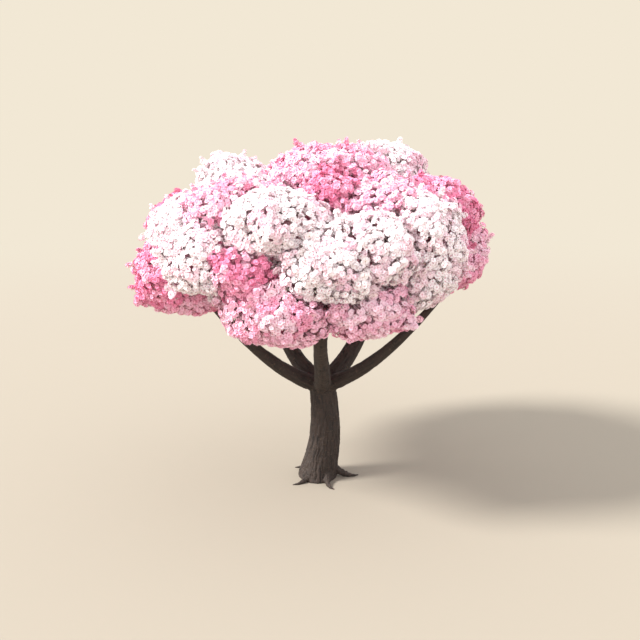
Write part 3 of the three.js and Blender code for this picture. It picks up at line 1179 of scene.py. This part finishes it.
twig_lines = []
umbels_of = {mass: [] for mass in MASSES}
for number, mass in enumerate(MASSES):
    dice = random.Random(100 + number)
    mixture = MIXTURES[SLOT_OF[mass]]
    near_spray = finder([spot for spot, _ in SPRAYS[mass]])
    ends_of = [[] for _ in SPRAYS[mass]]
    for place, outward in UMBELS[mass]:
        ends_of[near_spray.find(place)[1]].append((place, outward))
    for (spot, normal), ends in zip(SPRAYS[mass], ends_of):
        tone = TONE_NAMES.index(dice.choices(list(mixture), list(mixture.values()))[0])
        twigs, umbels = spray(mass, spot, normal, ends, dice)
        twig_lines += twigs
        for place, aim, size in umbels:
            loose = Vector(dice.gauss(0, AIM_SPREAD) for _ in range(3))
            row = (*place, *(aim.normalized() + loose).normalized(),
                   dice.uniform(0, math.tau), size, tone)
            umbels_of[mass].append(row)
print(f"{sum(len(u) for u in umbels_of.values())} umbels on {len(twig_lines)} twigs")

# %% Sweep the twigs
TWIG_SIDES = 3

twigs = limbs_from(twig_lines, "twigs", TWIG_SIDES, TWIG_BARK)
print(f"twigs of {triangles_in(twigs)} triangles")

# %% [markdown]
# ## Flowers
#
# A cherry flower has five petals, each with a small notch in its end, round a darker eye,
# and hangs or stands on a thin stalk. Four to six of them spring from one bud as an umbel,
# and here one more sits low and open between them, where a real umbel has leaves and half
# open buds. A tree has a few hundred thousand flowers of 35 mm. This one has fewer and they
# are twice as wide, which keeps the crown as full with less to carry. A petal could be a
# curved sheet of many faces, but at this number two triangles have to do: they share the
# notch, and each petal is lifted and twisted a little. A few umbels are made, and a Geometry
# Nodes tree sets them on the twigs.

# %% One flower
FLOWER_RADIUS = 0.043
PETAL_HALF = 0.56  # half the angle that a petal takes
BASE_REACH, PETAL_REACH, NOTCH_REACH = 0.10, 0.94, 0.90  # in flower radii
NOTCH_LIFT = 0.72  # how high the notch stands, against the petal's sides
PETAL_TURN = 0.06  # no two petals stand, rise and twist alike
PETAL_LIFT = (0.75, 1.25)
PETAL_TWIST = 0.05
EYE_REACH = 0.19
EYE_HEIGHTS = (0.10, 0.24)
PETAL, EYE_OF_FLOWER, STALK = 0, 1, 2


def at_turn(turn, reach, up):
    """A point at an angle and distance from the flower's middle line, in flower radii."""
    return Vector((reach * math.cos(turn), reach * math.sin(turn), up)) * FLOWER_RADIUS


def flower(cup, dice):
    """A flower's triangles, each with its part: petals or eye."""
    faces = []
    for k in range(5):
        turn = k * math.tau / 5 + dice.uniform(-PETAL_TURN, PETAL_TURN)
        lift = cup * dice.uniform(*PETAL_LIFT)
        base = at_turn(turn, BASE_REACH, 0)
        left = at_turn(turn - PETAL_HALF, PETAL_REACH, lift + PETAL_TWIST)
        right = at_turn(turn + PETAL_HALF, PETAL_REACH, lift - PETAL_TWIST)
        notch = at_turn(turn, NOTCH_REACH, lift * NOTCH_LIFT)
        faces += [((base, left, notch), PETAL), ((base, notch, right), PETAL)]
    eye = [at_turn(k * math.tau / 4, EYE_REACH, EYE_HEIGHTS[k % 2]) for k in range(4)]
    faces += [((eye[0], eye[1], eye[3]), EYE_OF_FLOWER), ((eye[1], eye[2], eye[3]), EYE_OF_FLOWER)]
    return faces


print(f"a flower of {len(flower(0.3, random.Random(0)))} triangles")

# %% One umbel
GOLDEN = math.radians(137.5)  # between one flower and the next round the bud
FEWEST_BLOOMS = 4
STALK_WIDTH = 0.004
STALK_LENGTHS = (0.050, 0.066)
STALK_LEAN = (0.10, 0.80)  # the least that a flower leans, and how much more the last
FIRST_LEAN = 0.3  # the first flower's step towards the last
TURN_SPREAD = 0.3
CUPS = (0.18, 0.42)  # from a flat flower to a deep one
LOW_FLOWER_SCALE = 1.4
LOW_FLOWER_UP = 0.012
LOW_FLOWER_CUP = 0.15


def umbel(kind):
    """The triangles of one umbel: flowers on stalks that spread from one point."""
    dice = random.Random(40 + kind)
    faces = []
    blooms = FEWEST_BLOOMS + kind % 3
    for k in range(blooms):
        lean = STALK_LEAN[0] + STALK_LEAN[1] * math.sqrt((k + FIRST_LEAN) / blooms)
        turn = k * GOLDEN + dice.uniform(-TURN_SPREAD, TURN_SPREAD)
        aim = Vector((math.sin(lean) * math.cos(turn), math.sin(lean) * math.sin(turn),
                      math.cos(lean)))
        place = aim * dice.uniform(*STALK_LENGTHS)
        spin = Matrix.Rotation(dice.uniform(0, math.tau), 4, "Z")
        stand = Matrix.Translation(place) @ aim.to_track_quat("Z", "Y").to_matrix().to_4x4() @ spin
        for corners, part in flower(dice.uniform(*CUPS), dice):
            faces.append(([stand @ corner for corner in corners], part))
        half = aim.orthogonal().normalized() * STALK_WIDTH / 2
        faces.append(([half, -half, place], STALK))
    low = Matrix.Translation((0, 0, LOW_FLOWER_UP)) @ Matrix.Scale(LOW_FLOWER_SCALE, 4)
    for corners, part in flower(LOW_FLOWER_CUP, dice):
        if part == PETAL:
            faces.append(([low @ corner for corner in corners], part))
    return faces


print(f"an umbel of {len(umbel(0))} triangles")

# %% Six kinds of umbel
UMBEL_KINDS = 6

umbel_shapes = bpy.data.collections.new("umbels")
for kind in range(UMBEL_KINDS):
    faces = umbel(kind)
    shape = mesh_object(f"umbel_{kind}", [c for corners, _ in faces for c in corners],
                        [(3 * k, 3 * k + 1, 3 * k + 2) for k in range(len(faces))])
    part = shape.data.attributes.new("part", "INT", "FACE")
    part.data.foreach_set("value", [part for _, part in faces])
    bpy.context.scene.collection.objects.unlink(shape)
    umbel_shapes.objects.link(shape)

# %% Materials of the petals, the eye and the stalk
def plain_material(name, colour, roughness=0.6, shine=0.25):
    """One plain tone."""
    made, _, surface = new_material(name)
    surface.inputs["Base Color"].default_value = colour
    surface.inputs["Roughness"].default_value = roughness
    surface.inputs["Specular IOR Level"].default_value = shine
    return made


PETALS = {name: plain_material(f"petal_{name}", colour) for name, colour in TONES.items()}
EYE_PINK = plain_material("flower_eye", linear(238, 140, 166))
STALK_GREEN = plain_material("flower_stalk", linear(170, 150, 104))
print(f"{len(PETALS)} petal tones, an eye and a stalk")

# %% [markdown]
# ## Blossom
#
# Fourteen thousand umbels could be copied in code, but an Instance on Points node does it
# from one table: a cloud of points that carry which umbel stands there, which way it aims,
# how far it is spun, its size, and its tone. The material is chosen face by face after the
# instances are real, from the part of the flower and the umbel's tone.

# %% The tree that sets umbels on the twigs
dress, given, taken = new_tree(
    "blossom", "GeometryNodeTree",
    [("Geometry", "NodeSocketGeometry", None), ("Umbels", "NodeSocketCollection", None),
     ("Scale", "NodeSocketFloat", 1.0), ("Eye", "NodeSocketMaterial", None),
     ("Stalk", "NodeSocketMaterial", None)]
    + [(f"Petal {name}", "NodeSocketMaterial", None) for name in TONE_NAMES],
    [("Geometry", "NodeSocketGeometry")])
shapes = put(dress, "GeometryNodeCollectionInfo",
             {"Collection": given["Umbels"], "Separate Children": True, "Reset Children": True})
facing = put(dress, "FunctionNodeAlignRotationToVector",
             {"Vector": named(dress, "aim", "FLOAT_VECTOR")}, axis="Z")
about = put(dress, "FunctionNodeAxisAngleToRotation",
            {"Axis": (0, 0, 1), "Angle": named(dress, "spin", "FLOAT")})
turned = put(dress, "FunctionNodeRotateRotation",
             {"Rotation": facing.outputs[0], "Rotate By": about.outputs[0]},
             rotation_space="LOCAL")
size = product(dress, named(dress, "size", "FLOAT"), given["Scale"])
set_out = put(dress, "GeometryNodeInstanceOnPoints",
              {"Points": given["Geometry"], "Instance": shapes.outputs[0],
               "Pick Instance": True, "Instance Index": named(dress, "kind", "INT"),
               "Rotation": turned.outputs[0], "Scale": size})
done = put(dress, "GeometryNodeRealizeInstances", {"Geometry": set_out.outputs[0]}).outputs[0]
print(f"blossom tree of {len(dress.nodes)} nodes")

# %% Materials by part and tone
def where(name, value):
    """True where a stored whole number has a value."""
    inputs = {"A_INT": named(dress, name, "INT"), "B_INT": value}
    node = put(dress, "FunctionNodeCompare", inputs, data_type="INT", operation="EQUAL")
    return node.outputs[0]


choices = [(where("part", EYE_OF_FLOWER), "Eye"), (where("part", STALK), "Stalk")]
for number, name in enumerate(TONE_NAMES):
    both = put(dress, "FunctionNodeBooleanMath",
               {0: where("part", PETAL), 1: where("tone", number)}, operation="AND")
    choices.append((both.outputs[0], f"Petal {name}"))
for chosen, title in choices:
    inputs = {"Geometry": done, "Selection": chosen, "Material": given[title]}
    done = put(dress, "GeometryNodeSetMaterial", inputs).outputs[0]
dress.links.new(done, taken["Geometry"])
print(f"blossom tree of {len(dress.nodes)} nodes")

# %% A cloud of points for each mass
def point_cloud(table):
    """Points that carry each umbel's aim, spin, size, tone and kind."""
    points = mesh_object("points", table[:, :3], [])
    store_vectors(points.data, "aim", table[:, 3:6])
    for name, kind, values in (("spin", "FLOAT", table[:, 6]), ("size", "FLOAT", table[:, 7]),
                               ("tone", "INT", table[:, 8].astype(int)),
                               ("kind", "INT", np.arange(len(table)) % UMBEL_KINDS)):
        layer = points.data.attributes.new(name, kind, "POINT")
        layer.data.foreach_set("value", values)
    return points


clouds = {mass: point_cloud(np.array(umbels_of[mass])) for mass in MASSES}
print(f"{sum(len(cloud.data.vertices) for cloud in clouds.values())} points")

# %% Dress each mass
def without_unused_materials(piece):
    """Drops the material slots that no face uses."""
    mesh = piece.data
    numbers = np.empty(len(mesh.polygons), dtype=np.int32)
    mesh.polygons.foreach_get("material_index", numbers)
    used = np.unique(numbers)
    kept = [mesh.materials[int(k)] for k in used]
    mesh.materials.clear()
    for material in kept:
        mesh.materials.append(material)
    mesh.polygons.foreach_set("material_index", np.searchsorted(used, numbers).astype(np.int32))
    mesh.update()


settings = {"Umbels": umbel_shapes, "Scale": 1.0, "Eye": EYE_PINK, "Stalk": STALK_GREEN}
settings.update({f"Petal {name}": PETALS[name] for name in TONE_NAMES})
blossom = {}
for mass, cloud in clouds.items():
    blossom[mass] = through(cloud, dress, settings, mass.replace("mass_", "blossom_"))
    without_unused_materials(blossom[mass])
total = sum(triangles_in(piece) for piece in blossom.values())
print(f"blossom of {total} triangles, {len(blossom)} pieces")

# %% [markdown]
# ## Where each piece belongs
#
# Everything stands still with the ground, so every piece rides the root. Each blossom piece
# takes the place of its mass. The bark takes the place of the trunk and the boughs, and the
# branches and twigs inside the crown belong to the masses that they carry.

# %% Pieces and what they replace
for mass, piece in blossom.items():
    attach(piece, "root")
    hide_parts(mass)
for piece, nodes in ((bark, ["trunk"] + BOUGHS), (branches, MASSES), (twigs, MASSES)):
    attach(piece, "root")
    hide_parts(*nodes)
print(f"{len(blossom) + 3} pieces ride the root")

# %% [markdown]
# ## Ground and light
#
# The tree stands on a plain pale ground under a soft sun from the left, high enough to put
# its shadow to the right. The ground fades into the colour of the sky far off, so there is
# no horizon line from any side.

# %% Sun
SUN_FROM = Vector((-0.72, -0.20, 0.66))
SUN_POWER = 5.3
SUN_WIDTH = math.radians(14)  # a wide sun has soft shadows

sun = placed(bpy.data.objects.new("sun", bpy.data.lights.new("sun", "SUN")))
sun.data.energy = SUN_POWER
sun.data.angle = SUN_WIDTH
sun.data.color = (1.0, 0.98, 0.96)
sun.rotation_euler = SUN_FROM.to_track_quat("Z", "Y").to_euler()
print(f"the sun stands {math.degrees(math.asin(SUN_FROM.normalized().z)):.0f} degrees high")

# %% Sky
SKY = (0.888, 0.807, 0.665, 1)  # what the camera sees
SKY_LIGHT = (0.98, 0.97, 1.0, 1)  # what falls on the tree
SKY_STRENGTH = 1.34

world = bpy.data.worlds.new("studio")
bpy.context.scene.world = world
world.use_nodes = True
tree = world.node_tree
seen = tree.nodes["Background"]
seen.inputs["Color"].default_value = SKY
felt = put(tree, "ShaderNodeBackground", {"Color": SKY_LIGHT, "Strength": SKY_STRENGTH})
path = put(tree, "ShaderNodeLightPath")
both = put(tree, "ShaderNodeMixShader", {0: path.outputs["Is Camera Ray"],
                                         1: felt.outputs[0], 2: seen.outputs[0]})
tree.links.new(both.outputs[0], tree.nodes["World Output"].inputs["Surface"])
bpy.context.scene.view_settings.view_transform = "Standard"
print(f"sky light of strength {SKY_STRENGTH}")

# %% Ground
GROUND = (0.352, 0.314, 0.253, 1)
GROUND_RADIUS = 90
GROUND_CORNERS = 96
FADE_FROM, FADE_TO = 9, 42

turns = [k * math.tau / GROUND_CORNERS for k in range(GROUND_CORNERS)]
edge = [Vector((math.cos(turn), math.sin(turn), 0)) * GROUND_RADIUS for turn in turns]
floor = mesh_object("floor", edge, [tuple(range(GROUND_CORNERS))])
soil, tree, surface = new_material("pale_ground")
surface.inputs["Base Color"].default_value = GROUND
surface.inputs["Roughness"].default_value = 0.95
surface.inputs["Specular IOR Level"].default_value = 0.1
here = put(tree, "ShaderNodeTexCoord").outputs["Object"]
distance = put(tree, "ShaderNodeVectorMath", {0: here}, operation="LENGTH").outputs["Value"]
glow = put(tree, "ShaderNodeEmission", {"Color": SKY})
fading = put(tree, "ShaderNodeMixShader", {0: ramped(tree, distance, FADE_FROM, FADE_TO),
                                           1: surface.outputs[0], 2: glow.outputs[0]})
tree.links.new(fading.outputs[0], tree.nodes["Material Output"].inputs["Surface"])
floor.data.materials.append(soil)
print(f"ground of {2 * GROUND_RADIUS} m, which fades from {FADE_FROM} to {FADE_TO} m")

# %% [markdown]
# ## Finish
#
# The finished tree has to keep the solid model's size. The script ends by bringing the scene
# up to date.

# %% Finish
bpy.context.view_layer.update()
